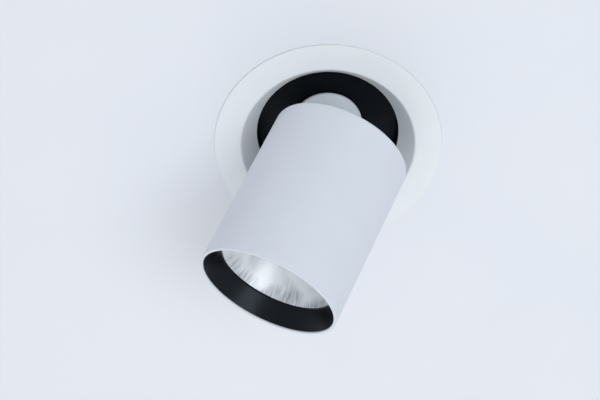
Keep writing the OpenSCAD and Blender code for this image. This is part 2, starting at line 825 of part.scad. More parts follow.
// Black anti-glare baffle: cone from the mouth in to the reflector, and a skirt inside the tube
module baffle() {
  run = baffle_r - baffle_bore_r;
  rise = baffle_in_z - baffle_mouth_z;
  skirt_in_r = baffle_r - baffle_t;
  rim_out_r = baffle_bore_r + baffle_rim_w;
  // Height of the cone's back, one sheet away from its front, at radius r
  function back_h(r) = baffle_in_z - (r - baffle_bore_r) * rise / run + baffle_t * norm([run, rise]) / run;
  color("#0c0c0c") in_head() rotate_extrude() polygon([
    [baffle_r, baffle_mouth_z], [baffle_r, baffle_mouth_z + baffle_skirt_l],
    [skirt_in_r, baffle_mouth_z + baffle_skirt_l], [skirt_in_r, back_h(skirt_in_r)],
    [rim_out_r, back_h(rim_out_r)], [rim_out_r, reflector_out_z], [baffle_bore_r, reflector_out_z],
    [baffle_bore_r, baffle_in_z]
  ]);
}

echo(spring_least_gap = least_gap(coil_path, coil_rings / 2, wire_d));

trim_ring();
well_can();
can_screws();
pan_bush();
pan_stop();
clip_bracket("a");  // clip_bracket_a
clip_bracket("b");  // clip_bracket_b
bracket_screws();
clip_pins();
clip_wing("a");  // clip_wing_a
clip_wing("b");  // clip_wing_b
wing_sleeve("a");  // wing_sleeve_a
wing_sleeve("b");  // wing_sleeve_b
clip_spring("a");  // clip_spring_a
clip_spring("b");  // clip_spring_b
turret_disc();
spindle();
top_washer();
stop_washer();
spring_washer();
spindle_nut();
lead_grommet();
tilt_arm();
foot_screws();
head_shell();
back_screws();
heat_sink();
yoke();
yoke_screws();
tilt_washer(1);  // tilt_washer_a
tilt_washer(-1);  // tilt_washer_b
tilt_pin();
tilt_nut();
light_board();
emitter();
board_holder();
holder_screws();
reflector();
baffle();
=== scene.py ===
"""Looks of the adjustable ceiling spotlight, made piece by piece as the fitting is put together."""
import json
from math import atan2, cos, pi, radians, sin, sqrt, tan

import bmesh
import bpy
from mathutils import Matrix, Vector

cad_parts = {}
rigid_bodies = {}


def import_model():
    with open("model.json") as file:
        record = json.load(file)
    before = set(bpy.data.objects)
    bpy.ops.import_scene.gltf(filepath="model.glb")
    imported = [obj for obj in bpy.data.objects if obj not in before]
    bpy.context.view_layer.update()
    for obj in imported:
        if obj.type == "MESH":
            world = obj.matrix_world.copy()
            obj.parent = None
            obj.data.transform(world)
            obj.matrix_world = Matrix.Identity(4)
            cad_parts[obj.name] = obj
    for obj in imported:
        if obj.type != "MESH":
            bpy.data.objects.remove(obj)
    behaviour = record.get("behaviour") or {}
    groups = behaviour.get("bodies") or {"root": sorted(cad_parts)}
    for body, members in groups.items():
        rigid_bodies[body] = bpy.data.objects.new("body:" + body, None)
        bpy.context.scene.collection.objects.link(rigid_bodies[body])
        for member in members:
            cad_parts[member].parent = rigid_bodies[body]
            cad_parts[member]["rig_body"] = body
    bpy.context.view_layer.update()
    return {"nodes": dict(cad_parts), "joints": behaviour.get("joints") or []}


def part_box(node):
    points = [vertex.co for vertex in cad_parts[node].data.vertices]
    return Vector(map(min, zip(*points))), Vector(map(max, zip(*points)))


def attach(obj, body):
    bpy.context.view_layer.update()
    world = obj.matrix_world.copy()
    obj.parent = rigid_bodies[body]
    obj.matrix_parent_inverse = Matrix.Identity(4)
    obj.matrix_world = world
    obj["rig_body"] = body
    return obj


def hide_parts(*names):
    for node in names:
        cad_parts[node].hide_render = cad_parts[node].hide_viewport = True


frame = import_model()

# Camera: stands on the floor, looks up steeply at the ceiling and sees the head come towards it, down
# and to the left. A long lens keeps the trim's circles almost true ellipses.
mm = 0.001
view_azimuth = radians(224.65)
view_elevation = radians(-55.92)
view_distance = 798.4 * mm
view_aim = Vector((28.42, -6.82, -17.18)) * mm
lens_mm = 87
sensor_mm = 36

towards_camera = Vector((
    sin(view_azimuth) * cos(view_elevation),
    -cos(view_azimuth) * cos(view_elevation),
    sin(view_elevation),
))
camera = bpy.data.objects.new("camera", bpy.data.cameras.new("camera"))
camera.data.lens = lens_mm
camera.data.sensor_width = sensor_mm
camera.location = view_aim + towards_camera * view_distance
camera.rotation_mode = "QUATERNION"
camera.rotation_quaternion = (-towards_camera).to_track_quat("-Z", "Y")
bpy.context.scene.collection.objects.link(camera)
bpy.context.scene.camera = camera
bpy.context.scene.view_settings.view_transform = "Standard"

# Ceiling: smooth plasterboard in a cool white emulsion. It is the backdrop, and ends just under the
# flange's rim. Seen from the void above it is clear, so that the fitting can be looked at from there.
ceiling_r = 9.0
ceiling_near_r = 0.4
ceiling_hole_r = 61.9 * mm
ceiling_lift = 0.02 * mm
ceiling_steps = 160


def add(tree, kind, inputs=None, **settings):
    """A node of that kind, with its settings, and with values or links on its inputs."""
    node = tree.nodes.new(kind)
    for key, value in settings.items():
        setattr(node, key, value)
    for key, value in (inputs or {}).items():
        if isinstance(value, bpy.types.NodeSocket):
            tree.links.new(value, node.inputs[key])
        else:
            node.inputs[key].default_value = value
    return node


def finish(name, **constants):
    """A material with one Principled shader that has these constants on its own sockets."""
    material = bpy.data.materials.new(name)
    material.use_nodes = True
    shader = material.node_tree.nodes["Principled BSDF"]
    for key, value in constants.items():
        shader.inputs[key.replace("_", " ")].default_value = value
    return material, material.node_tree, shader


def cloud(tree, size, detail=2.0, rough=0.5, stretch=None):
    """Noise with lumps of that size in metres, from 0 to 1, on the piece's own coordinates."""
    place = add(tree, "ShaderNodeTexCoord").outputs["Object"]
    if stretch:
        place = add(tree, "ShaderNodeMapping", {"Vector": place, "Scale": stretch}).outputs["Vector"]
    return add(tree, "ShaderNodeTexNoise", {
        "Vector": place, "Scale": 1 / size, "Detail": detail, "Roughness": rough,
    }).outputs["Fac"]


def between(tree, factor, low, high, start=0.3, end=0.7):
    """A number from low to high as factor goes from start to end."""
    return add(tree, "ShaderNodeMapRange", {
        "Value": factor, "From Min": start, "From Max": end, "To Min": low, "To Max": high,
    }).outputs["Result"]


def blend_of(tree, factor, colour, other):
    """A mix of two colours, each written out or linked."""
    mix = add(tree, "ShaderNodeMix", data_type="RGBA")
    tree.links.new(factor, mix.inputs["Factor"])
    for socket, value in ((mix.inputs[6], colour), (mix.inputs[7], other)):
        if isinstance(value, bpy.types.NodeSocket):
            tree.links.new(value, socket)
        else:
            socket.default_value = (*value, 1)
    return mix.outputs[2]


def relief(tree, shader, height, depth, under=None):
    """Bump of that depth in metres on the shader, on top of another bump if there is one."""
    bump = add(tree, "ShaderNodeBump", {"Height": height, "Distance": depth})
    if under:
        tree.links.new(under, bump.inputs["Normal"])
    tree.links.new(bump.outputs["Normal"], shader.inputs["Normal"])
    return bump.outputs["Normal"]


def emulsion():
    """Cool white ceiling paint with a faint roller stipple, clear from its back."""
    material, tree, shader = finish("ceiling_emulsion", Roughness=0.9, Specular_IOR_Level=0.2)
    patches = between(tree, cloud(tree, size=0.12), 0, 1)
    tone = blend_of(tree, patches, (0.75, 0.77, 0.815), (0.77, 0.785, 0.825))
    tree.links.new(tone, shader.inputs["Base Color"])
    relief(tree, shader, cloud(tree, size=0.0012), depth=0.00002)
    back = add(tree, "ShaderNodeNewGeometry").outputs["Backfacing"]
    clear = add(tree, "ShaderNodeBsdfTransparent")
    mix = add(tree, "ShaderNodeMixShader", {0: back, 1: shader.outputs["BSDF"], 2: clear.outputs["BSDF"]})
    tree.links.new(mix.outputs["Shader"], tree.nodes["Material Output"].inputs["Surface"])
    return material


def made(name, shape, material):
    """An object from a finished shape, with smooth faces."""
    mesh = bpy.data.meshes.new(name)
    shape.to_mesh(mesh)
    shape.free()
    mesh.shade_smooth()
    mesh.materials.append(material)
    piece = bpy.data.objects.new(name, mesh)
    bpy.context.scene.collection.objects.link(piece)
    return piece


def ceiling_board():
    """Wide ring of board round the fitting, facing down, just above the flange's back."""
    shape = bmesh.new()
    rings = []
    for r in (ceiling_hole_r, ceiling_near_r, ceiling_r):
        turns = [2 * pi * i / ceiling_steps for i in range(ceiling_steps)]
        rings.append([shape.verts.new((r * cos(a), r * sin(a), ceiling_lift)) for a in turns])
    for inner, outer in zip(rings, rings[1:]):
        for i in range(ceiling_steps):
            j = (i + 1) % ceiling_steps
            shape.faces.new((inner[i], inner[j], outer[j], outer[i]))
    return made("ceiling", shape, emulsion())


ceiling_board()

# Light: a pale room, its walls and floor not all one tone. A broad lamp low on the camera's right
# leaves the head's faint shadow. One below the camera gives the baffle and the reflector their sheen,
# and a small one in front of the mouth lifts its rim.
room_tones = ((0.575, 0.605, 0.645), (0.84, 0.85, 0.86))
room_lumps = 1.6

# Name, place, width in metres, watts and colour
lamps = (
    ("key", Vector((-2.12, -0.27, -1.8)), 2.1, 2.4, (1.0, 0.985, 0.96)),
    ("window", Vector((-1.0, 0.1, -1.73)), 1.25, 10.5, (0.90, 0.95, 1.0)),
    ("floor", Vector((0.8, -0.4, -1.0)), 0.9, 2.8, (1.0, 0.99, 0.98)),
)

world = bpy.data.worlds.new("room")
bpy.context.scene.world = world
world.use_nodes = True
room = world.node_tree
compass = add(room, "ShaderNodeTexCoord").outputs["Generated"]
lumps = add(room, "ShaderNodeTexNoise", {"Vector": compass, "Scale": room_lumps, "Detail": 1.0})
lump_share = between(room, lumps.outputs["Fac"], 0, 1, start=0.35, end=0.65)
room_tone = blend_of(room, lump_share, *room_tones)
room.links.new(room_tone, room.nodes["Background"].inputs["Color"])

for name, place, size, watts, colour in lamps:
    lamp = bpy.data.objects.new(name, bpy.data.lights.new(name, "AREA"))
    lamp.data.shape = "DISK"
    lamp.data.size = size
    lamp.data.energy = watts
    lamp.data.color = colour
    lamp.location = place
    lamp.rotation_mode = "QUATERNION"
    lamp.rotation_quaternion = (view_aim - place).to_track_quat("-Z", "Y")
    lamp.visible_camera = False
    bpy.context.scene.collection.objects.link(lamp)

# Trim ring: die-cast aluminium in white powder coat. Its flange lies on the ceiling and its cone leads
# up into it, to a thin lip inside the can. A fine step behind its rim leaves a shadow line. Bosses and
# pads on its back take the screws of the can and of the clips.
flange_r = 62.5
flange_edge_t = 1.0
rim_step_r = 61.9
rim_step_h = 0.3
lip_corner = (47.85, -1.58)
cone_top = (39.5, 11.9)
lip_t = 0.27
lip_top = 13.7
seat_r = 44.5
rim_t = 2.0
cone_wall = 2.62
boss_r = 4.0
boss_root = 1.0
can_screw_r = 48.2
can_screw_turns = (0, 120, 240)
pad_far = 52.7
pad_half_w = 11.1
pad_corner_r = 1.2
clip_turns = (90, 270)
core_low = -1.0
core_top = 13.0


def eased(corners, steps=4):
    """Closed outline in which each corner (x, y, radius) is rounded by its radius."""
    outline = []
    for i, (x, y, radius) in enumerate(corners):
        corner = Vector((x, y))
        if not radius:
            outline.append(corner)
            continue
        back = (Vector(corners[i - 1][:2]) - corner).normalized()
        ahead = (Vector(corners[(i + 1) % len(corners)][:2]) - corner).normalized()
        half = back.angle(ahead) / 2
        centre = corner + (back + ahead).normalized() * radius / sin(half)
        start = corner + back * radius / tan(half) - centre
        sweep = (pi - 2 * half) * (-1 if back.x * ahead.y > back.y * ahead.x else 1)
        for k in range(steps + 1):
            a = atan2(start.y, start.x) + sweep * k / steps
            outline.append(centre + Vector((cos(a), sin(a))) * radius)
    return outline


def band(shape, ring, other, steps):
    """Faces between two rings of corners, one of which may be a single point on the axis."""
    faces = []
    for i in range(steps):
        corners = [ring[i % len(ring)], ring[(i + 1) % len(ring)]]
        corners += [other[(i + 1) % len(other)], other[i % len(other)]]
        faces.append(shape.faces.new(list(dict.fromkeys(corners))))
    return faces


def turn(shape, outline, steps=224):
    """Add a body turned from a closed outline of (radius, height) in mm to a shape."""
    rings = []
    for r, z in outline:
        around = [2 * pi * i / steps for i in range(steps)] if r else [0]
        rings.append([shape.verts.new((r * cos(a) * mm, r * sin(a) * mm, z * mm)) for a in around])
    faces = []
    for ring, other in zip(rings, rings[1:] + rings[:1]):
        if len(ring) > 1 or len(other) > 1:
            faces += band(shape, ring, other, steps)
    bmesh.ops.recalc_face_normals(shape, faces=faces)


def extrude(shape, outline, low, high, place=Matrix()):
    """Add a straight body on an outline of (x, y) in mm, from height low to high, to a shape."""
    rows = [[shape.verts.new(place @ Vector((x, y, z)) * mm) for x, y in outline] for z in (low, high)]
    faces = [shape.faces.new(row) for row in rows]
    for i, j in zip(range(len(outline)), [*range(1, len(outline)), 0]):
        faces.append(shape.faces.new((rows[0][i], rows[0][j], rows[1][j], rows[1][i])))
    bmesh.ops.recalc_face_normals(shape, faces=faces)


def lug(inner, centre, r, steps=12):
    """Outline of a lug that sticks out along X to a round end about its centre."""
    end = [radians(-90 + 180 * k / steps) for k in range(steps + 1)]
    return [(inner, -r), *[(centre + r * cos(a), r * sin(a)) for a in end], (inner, r)]


def about(degrees):
    """A turn about the upright axis."""
    return Matrix.Rotation(radians(degrees), 4, "Z")


def baked(piece):
    """Turn a piece and its modifiers into a plain mesh."""
    bpy.context.view_layer.update()
    live = bpy.context.evaluated_depsgraph_get()
    mesh = bpy.data.meshes.new_from_object(piece.evaluated_get(live), depsgraph=live)
    piece.modifiers.clear()
    piece.data = mesh
    return piece


def cut_by(piece, tool):
    """Cut the tool's body out of the piece."""
    cut = piece.modifiers.new("cut", "BOOLEAN")
    cut.operation = "DIFFERENCE"
    cut.solver = "EXACT"
    cut.object = tool
    baked(piece)
    bpy.data.objects.remove(tool)


def ease(piece, radius=0.0, steps=2, split=30):
    """Round the hard edges by a radius in mm, and let flat faces stay flat to the eye."""
    if radius:
        bevel = piece.modifiers.new("ease", "BEVEL")
        bevel.width = radius * mm
        bevel.segments = steps
        bevel.limit_method = "ANGLE"
        bevel.angle_limit = radians(split)
    piece.modifiers.new("level", "WEIGHTED_NORMAL")
    return baked(piece)


def stands_for(piece, node):
    """The piece rides where this CAD node does and takes its place."""
    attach(piece, frame["nodes"][node]["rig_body"])
    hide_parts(node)
    return piece


def powder_coat(name, colour, other, roughness, gloss=0.4, grain=0.0004, depth=0.000012, **more):
    """Baked powder paint: fine orange peel, with clouds of another tone and another gloss."""
    material, tree, shader = finish(name, Specular_IOR_Level=gloss, **more)
    tone = blend_of(tree, between(tree, cloud(tree, size=0.02), 0, 1), colour, other)
    specks = between(tree, cloud(tree, size=0.00025, detail=1), 0, 0.25, start=0.62, end=0.8)
    tree.links.new(blend_of(tree, specks, tone, other), shader.inputs["Base Color"])
    sheen = between(tree, cloud(tree, size=0.006, detail=3), roughness - 0.04, roughness + 0.05)
    tree.links.new(sheen, shader.inputs["Roughness"])
    relief(tree, shader, cloud(tree, grain, detail=3), depth)
    return material


def cone_r(z):
    """Radius of the cone's white face at height z."""
    (low_r, low_z), (high_r, high_z) = lip_corner, cone_top
    return low_r + (high_r - low_r) * (z - low_z) / (high_z - low_z)


white_coat = powder_coat("white_powder_coat", (0.77, 0.80, 0.82), (0.785, 0.81, 0.83), roughness=0.55)
ring = bmesh.new()
turn(ring, eased([
    (rim_step_r, 0, 0.05), (rim_step_r, -rim_step_h, 0), (flange_r, -rim_step_h, 0.05),
    (flange_r, -flange_edge_t, 0.25), (*lip_corner, 1.6), (*cone_top, 0.3),
    (cone_top[0], lip_top, 0.1), (cone_top[0] + lip_t, lip_top, 0.1), (cone_top[0] + lip_t, cone_top[1], 0),
    (seat_r, cone_top[1], 0.3), (seat_r, cone_top[1] - rim_t, 0.3),
    (cone_r(cone_top[1] - rim_t) + cone_wall, cone_top[1] - rim_t, 0.4), (cone_r(0) + cone_wall, 0, 0.6),
], steps=5))
stands_for(ease(made("trim_ring_turned", ring, white_coat)), "trim_ring")

bosses = bmesh.new()
for degrees in can_screw_turns:
    extrude(bosses, lug(cone_top[0] + boss_root, can_screw_r, boss_r), 0, cone_top[1], about(degrees))
for degrees in clip_turns:
    pad = [(cone_top[0], -pad_half_w, 0), (pad_far, -pad_half_w, pad_corner_r),
           (pad_far, pad_half_w, pad_corner_r), (cone_top[0], pad_half_w, 0)]
    extrude(bosses, eased(pad), 0, cone_top[1], about(degrees))
bosses = made("trim_ring_bosses", bosses, white_coat)
core = bmesh.new()
turn(core, [(0, core_low), *[(cone_r(z) + boss_root, z) for z in (core_low, core_top)], (0, core_top)])
cut_by(bosses, made("core", core, white_coat))
stands_for(ease(bosses, radius=0.3), "trim_ring")

# Well can: deep-drawn steel in matt black, closing the throat above the cone. Three lugs on its rim
# are screwed to the trim's bosses.
can_r = 39.8
can_t = 1.5
well_h = 25.1
can_corner_r = 2.5
can_lug_r = 4.5
can_hole_r = 6.1

# Painted reflection: the blue in this black and in its specular tint gives it a bluish sheen
black_coat_painted_blue_reflection = powder_coat("matt_black_coat", (0.0018, 0.0024, 0.0036), (0.0034, 0.0042, 0.0056),
                         roughness=0.42, gloss=0.17, Specular_Tint=(0.72, 0.86, 1.0, 1.0))
can = bmesh.new()
turn(can, eased([
    (can_r, cone_top[1], 0.15), (can_r, well_h, can_corner_r), (can_hole_r, well_h, 0.1),
    (can_hole_r, well_h + can_t, 0.3), (can_r + can_t, well_h + can_t, can_corner_r + can_t),
    (can_r + can_t, cone_top[1] + can_t, 0.8), (seat_r, cone_top[1] + can_t, 0.3), (seat_r, cone_top[1], 0.1),
], steps=6))
stands_for(ease(made("well_can_drawn", can, black_coat_painted_blue_reflection)), "well_can")
lugs = bmesh.new()
for degrees in can_screw_turns:
    plate = lug(can_r + can_t, can_screw_r, can_lug_r)
    extrude(lugs, plate, cone_top[1], cone_top[1] + can_t, about(degrees))
stands_for(ease(made("well_can_lugs", lugs, black_coat_painted_blue_reflection), radius=0.2), "well_can")

# Can screws: zinc-plated cap screws with a hexagon socket, one in each lug. The same screw, in other
# lengths, holds the clips, the arm's foot, the head's back, the yoke and the board's holder.
screw_r = 1.5
screw_head_r = 2.75
screw_head_h = 1.8
screw_chamfer = 0.35
head_foot = 0.1
tip_in = 0.5
tip_h = 0.6
socket_half = 1.2
socket_depth = 1.1
socket_edge = 0.15
socket_point = 0.5
screw_sides = 24
cad_weld = 0.002 * mm


def bare_metal(name, colour, other, roughness, spread, grain=0.0003, depth=0.000005, stretch=None):
    """Bare metal: its tone in clouds, and tool marks or grain that vary its gloss and relief."""
    material, tree, shader = finish(name, Metallic=1.0)
    tone = blend_of(tree, between(tree, cloud(tree, size=0.004, detail=3), 0, 1), colour, other)
    tree.links.new(tone, shader.inputs["Base Color"])
    marks = cloud(tree, grain, detail=4, rough=0.6, stretch=stretch)
    gloss = between(tree, marks, roughness - spread / 2, roughness + spread / 2)
    tree.links.new(gloss, shader.inputs["Roughness"])
    relief(tree, shader, marks, depth)
    return material


def screw_pattern(length, material):
    """One screw, its head's top at the origin and pointing down, with a hexagon socket."""
    turns = [2 * pi * i / screw_sides for i in range(screw_sides)]

    def socket_r(a):
        """Distance from the axis to the hexagon's wall at that angle."""
        return socket_half / cos((a + pi / 6) % (pi / 3) - pi / 6)

    rings = [
        (0, -length, None), (screw_r - tip_in, -length, None), (screw_r, tip_h - length, None),
        (screw_r, -screw_head_h, None), (screw_head_r - head_foot, -screw_head_h, None),
        (screw_head_r, head_foot - screw_head_h, None), (screw_head_r, -screw_chamfer, None),
        (screw_head_r - screw_chamfer / 3, -screw_chamfer / 3, None),
        (screw_head_r - screw_chamfer, 0, None), (socket_edge, 0, socket_r),
        (0, -socket_edge, socket_r), (0, -socket_depth, socket_r),
        (0, -socket_depth - socket_point, None),
    ]
    shape = bmesh.new()
    rows = []
    for r, z, extra in rings:
        around = turns if r or extra else [0]
        reach = [r + (extra(a) if extra else 0) for a in around]
        places = [(s * cos(a) * mm, s * sin(a) * mm, z * mm) for s, a in zip(reach, around)]
        rows.append([shape.verts.new(place) for place in places])
    for row, other in zip(rows, rows[1:]):
        band(shape, row, other, screw_sides)
    bmesh.ops.recalc_face_normals(shape, faces=shape.faces)
    return ease(made("screw_pattern", shape, material))


def joined(node):
    """A shape of its own from a CAD piece, with its loose triangles joined."""
    shape = bmesh.new()
    shape.from_mesh(frame["nodes"][node].data)
    bmesh.ops.remove_doubles(shape, verts=shape.verts, dist=cad_weld)
    return shape


def seats(node, axis):
    """Where the heads of a node's screws end, each on its axis, found on the CAD's solids and sorted."""
    shape = joined(node)
    left = set(shape.verts)
    places = []
    while left:
        solid, reach = set(), [left.pop()]
        while reach:
            corner = reach.pop()
            solid.add(corner)
            near = {edge.other_vert(corner) for edge in corner.link_edges} & left
            left -= near
            reach += near
        top = max(corner.co @ axis for corner in solid)
        across = [corner.co - axis * (corner.co @ axis) for corner in solid]
        middle = Vector([(min(v[k] for v in across) + max(v[k] for v in across)) / 2 for k in range(3)])
        middle -= axis * (middle @ axis)
        places.append(middle + axis * top)
    shape.free()
    return sorted(places, key=lambda place: [round(part / mm, 2) for part in place])


def new_tree(name, *sockets):
    """Geometry Nodes tree with these named inputs (name, kind, value), and the sockets that give them."""
    tree = bpy.data.node_groups.new(name, "GeometryNodeTree")
    tree.interface.new_socket("Geometry", in_out="INPUT", socket_type="NodeSocketGeometry")
    tree.interface.new_socket("Geometry", in_out="OUTPUT", socket_type="NodeSocketGeometry")
    for label, kind, value in sockets:
        socket = tree.interface.new_socket(label, in_out="INPUT", socket_type="NodeSocket" + kind)
        if value is not None:
            socket.default_value = value
    return tree, tree.nodes.new("NodeGroupInput").outputs


def end_tree(tree, geometry, material):
    """Realize what the tree made, give it its material and hand it out."""
    real = add(tree, "GeometryNodeRealizeInstances", {0: geometry}).outputs[0]
    dressed = add(tree, "GeometryNodeSetMaterial", {"Geometry": real, "Material": material}).outputs[0]
    tree.links.new(dressed, tree.nodes.new("NodeGroupOutput").inputs[0])


def grown(name, tree, base=None, **values):
    """Plain mesh that a tree grows on a base mesh, with these values on its named inputs."""
    piece = bpy.data.objects.new(name, base or bpy.data.meshes.new(name))
    bpy.context.scene.collection.objects.link(piece)
    grower = piece.modifiers.new("grower", "NODES")
    grower.node_group = tree
    for socket in tree.interface.items_tree:
        label = socket.name.lower().replace(" ", "_")
        if socket.in_out == "INPUT" and label in values:
            grower[socket.identifier] = values[label]
    return baked(piece)


def copies_tree():
    """Tree that sets a pattern on every point of its base, along the point's own axis, turned at random."""
    tree, given = new_tree(
        "copies on seats", ("Pattern", "Object", None), ("Seed", "Int", 7), ("Material", "Material", None))
    axis = add(tree, "GeometryNodeInputNamedAttribute", {"Name": "axis"}, data_type="FLOAT_VECTOR")
    upright = add(tree, "FunctionNodeAlignRotationToVector", {"Vector": axis.outputs[0]}, axis="Z")
    chance = add(tree, "FunctionNodeRandomValue", {
        2: 0.0, 3: 2 * pi, "Seed": given["Seed"]}, data_type="FLOAT")
    spin = add(tree, "FunctionNodeAxisAngleToRotation", {"Axis": (0, 0, 1), "Angle": chance.outputs[1]})
    turned = add(tree, "FunctionNodeRotateRotation", {
        0: upright.outputs[0], 1: spin.outputs[0]}, rotation_space="LOCAL")
    pattern = add(tree, "GeometryNodeObjectInfo", {"Object": given["Pattern"]})
    placed = add(tree, "GeometryNodeInstanceOnPoints", {
        "Points": given["Geometry"], "Instance": pattern.outputs["Geometry"], "Rotation": turned.outputs[0]})
    end_tree(tree, placed.outputs[0], given["Material"])
    return tree


on_seats = copies_tree()


def screwed(node, axis, material, length, seed):
    """A node's screws, all copies of one pattern on the CAD's seats."""
    places = seats(node, axis)
    base = bpy.data.meshes.new(node + "_seats")
    base.from_pydata(places, [], [])
    axes = base.attributes.new("axis", "FLOAT_VECTOR", "POINT")
    axes.data.foreach_set("vector", [value for _ in places for value in axis])
    pattern = screw_pattern(length, material)
    screws = grown(node + "_set", on_seats, base, pattern=pattern, seed=seed, material=material)
    bpy.data.objects.remove(pattern)
    return stands_for(screws, node)


up = Vector((0, 0, 1))
zinc = bare_metal("zinc_plate", (0.60, 0.62, 0.65), (0.66, 0.66, 0.63), roughness=0.34, spread=0.16)
screwed("can_screws", up, zinc, length=9.3, seed=7)

# Pan bush and top washer: turned from natural nylon. The bush lines the can's hole, its flange under
# the roof, and the washer lies on its top, so that the spindle runs on nylon all round.
one_plane = radians(0.6)


def softened(node, material, radius, steps=2):
    """The CAD piece with its hard edges rounded by a radius in mm."""
    shape = joined(node)
    bmesh.ops.dissolve_limit(shape, angle_limit=one_plane, verts=shape.verts, edges=shape.edges)
    return stands_for(ease(made(node + "_eased", shape, material), radius, steps), node)


def moulded(name, colour, other, roughness, grain=0.0003, depth=0.00001, **more):
    """Moulded or turned plastic or rubber: slight clouds in its tone and the mould's fine grain."""
    material, tree, shader = finish(name, **more)
    tone = blend_of(tree, between(tree, cloud(tree, size=0.005, detail=3), 0, 1), colour, other)
    tree.links.new(tone, shader.inputs["Base Color"])
    skin = cloud(tree, grain, detail=3)
    tree.links.new(between(tree, skin, roughness - 0.06, roughness + 0.06), shader.inputs["Roughness"])
    relief(tree, shader, skin, depth)
    return material


nylon = moulded("natural_nylon", (0.78, 0.75, 0.66), (0.84, 0.82, 0.74), roughness=0.42,
                Subsurface_Weight=0.3, Subsurface_Scale=0.0008)
softened("pan_bush", nylon, radius=0.15)
softened("top_washer", nylon, radius=0.15)

# Pan stop: a plain hardened peg pressed into the can's roof. The washer's finger meets it at both ends
# of the turn.
hard_steel = bare_metal("ground_steel", (0.50, 0.51, 0.53), (0.57, 0.57, 0.58), roughness=0.28,
                        spread=0.12, grain=0.0002, depth=0.000004, stretch=(1, 1, 8))
softened("pan_stop", hard_steel, radius=0.25, steps=3)

# Clip brackets: folded from zinc-plated strip and screwed to the trim's pads. A headed rivet goes
# through both ears and carries the wing.
strip = bare_metal("zinc_strip", (0.58, 0.60, 0.64), (0.67, 0.66, 0.60), roughness=0.32, spread=0.16,
                   grain=0.0005, depth=0.000006, stretch=(1, 0.08, 1))
for node in ("clip_bracket_a", "clip_bracket_b"):
    softened(node, strip, radius=0.2)
screwed("bracket_screws", up, zinc, length=9.0, seed=3)
softened("clip_pins", hard_steel, radius=0.2)

# Clip wings: tapered blades of blue-grey spring steel, curled round the rivet at the root and turned
# up at the end. They bear down on the board from the void, and so pull the flange up against it.


def spring_steel():
    """Oil-hardened strip: dark, with a straw and blue temper that drifts over it."""
    material, tree, shader = finish("tempered_steel", Metallic=1.0)
    drift = between(tree, cloud(tree, size=0.012), 0, 1)
    temper = blend_of(tree, drift, (0.25, 0.27, 0.33), (0.36, 0.33, 0.29))
    tree.links.new(temper, shader.inputs["Base Color"])
    rolled = cloud(tree, size=0.0004, detail=4, rough=0.6, stretch=(1, 0.06, 1))
    tree.links.new(between(tree, rolled, 0.26, 0.42), shader.inputs["Roughness"])
    relief(tree, shader, rolled, depth=0.000005)
    return material


tempered = spring_steel()
for node in ("clip_wing_a", "clip_wing_b"):
    softened(node, tempered, radius=0.18)

# Wing sleeves: moulded in a soft grey elastomer and slipped over the end of each wing, so that it
# grips the ceiling board from above and does not mark it.
soft_grey = moulded("soft_grey_sleeve", (0.10, 0.105, 0.11), (0.125, 0.13, 0.135), roughness=0.62,
                    grain=0.0005, depth=0.00002)
for node in ("wing_sleeve_a", "wing_sleeve_b"):
    softened(node, soft_grey, radius=0.4, steps=3)

# Clip springs: coiled from round spring wire about the rivet. One leg bears on the bracket and the
# other lies along the wing and drives it down.
wire_r = 0.6
wire_sides = 12
coil_r = 2.4
coil_half_w = 4.6
coil_turns = 4.25
coil_steps = 28
bracket_leg = 5.4
bracket_leg_shares = (1, 0.7, 0.4)
wing_leg = (3.4, 7.5, 13.5)
wing_leg_h = 3.35


def hinge(name):
    """Place of a joint, from the record."""
    return next(Vector(j["pos_m"]) for j in frame["joints"] if j["name"] == name)


def wire_tree():
    """Tree that draws round wire along its base's line, with closed ends."""
    tree, given = new_tree(
        "round wire", ("Wire radius", "Float", 0.001), ("Sides", "Int", 12), ("Material", "Material", None))
    line = add(tree, "GeometryNodeMeshToCurve", {"Mesh": given["Geometry"]})
    section = add(tree, "GeometryNodeCurvePrimitiveCircle", {
        "Resolution": given["Sides"], "Radius": given["Wire radius"]})
    wire = add(tree, "GeometryNodeCurveToMesh", {
        "Curve": line.outputs[0], "Profile Curve": section.outputs[0], "Fill Caps": True})
    end_tree(tree, wire.outputs[0], given["Material"])
    return tree


def spring_line():
    """Line of the spring about its pin, which lies along Y: leg down, coil and leg out, in mm."""
    line = [Vector((-coil_r, -coil_half_w, -bracket_leg * share)) for share in bracket_leg_shares]
    count = int(coil_turns * coil_steps)
    for i in range(count + 1):
        a = pi - 2 * pi * i / coil_steps
        line.append(Vector((coil_r * cos(a), coil_half_w * (2 * i / count - 1), coil_r * sin(a))))
    return line + [Vector((x, coil_half_w, wing_leg_h)) for x in wing_leg]


round_wire = wire_tree()
wire_steel = bare_metal("spring_wire", (0.36, 0.37, 0.40), (0.44, 0.43, 0.42), roughness=0.3, spread=0.12,
                        depth=0.000004)
for name, degrees in zip(("a", "b"), clip_turns):
    seat = Matrix.Translation(hinge("clip_fold_" + name)) @ about(degrees)
    line = [seat @ (point * mm) for point in spring_line()]
    base = bpy.data.meshes.new("spring_line")
    base.from_pydata(line, [(i, i + 1) for i in range(len(line) - 1)], [])
    spring = grown("clip_spring_wire_" + name, round_wire, base, wire_radius=wire_r * mm,
                   sides=wire_sides, material=wire_steel)
    stands_for(ease(spring), "clip_spring_" + name)

# Turret disc: turned aluminium in a white close to the trim's, with a bevelled rim, just under the
# can's roof. It hides the bush and turns with the arm.
disc_r = 19.5
disc_top = 24.1
disc_t = 1.6
disc_bevel = 0.6
disc_hole_r = 5.05

disc = bmesh.new()
turn(disc, eased([
    (disc_hole_r, disc_top, 0.1), (disc_hole_r, disc_top - disc_t, 0.1),
    (disc_r - disc_bevel, disc_top - disc_t, 0.3), (disc_r, disc_top - disc_t + disc_bevel, 0.3),
    (disc_r, disc_top, 0.1),
], steps=3), steps=128)
disc_coat = powder_coat("disc_white_coat", (0.82, 0.88, 0.92), (0.84, 0.90, 0.94), roughness=0.5)
stands_for(ease(made("turret_disc_turned", disc, disc_coat)), "turret_disc")

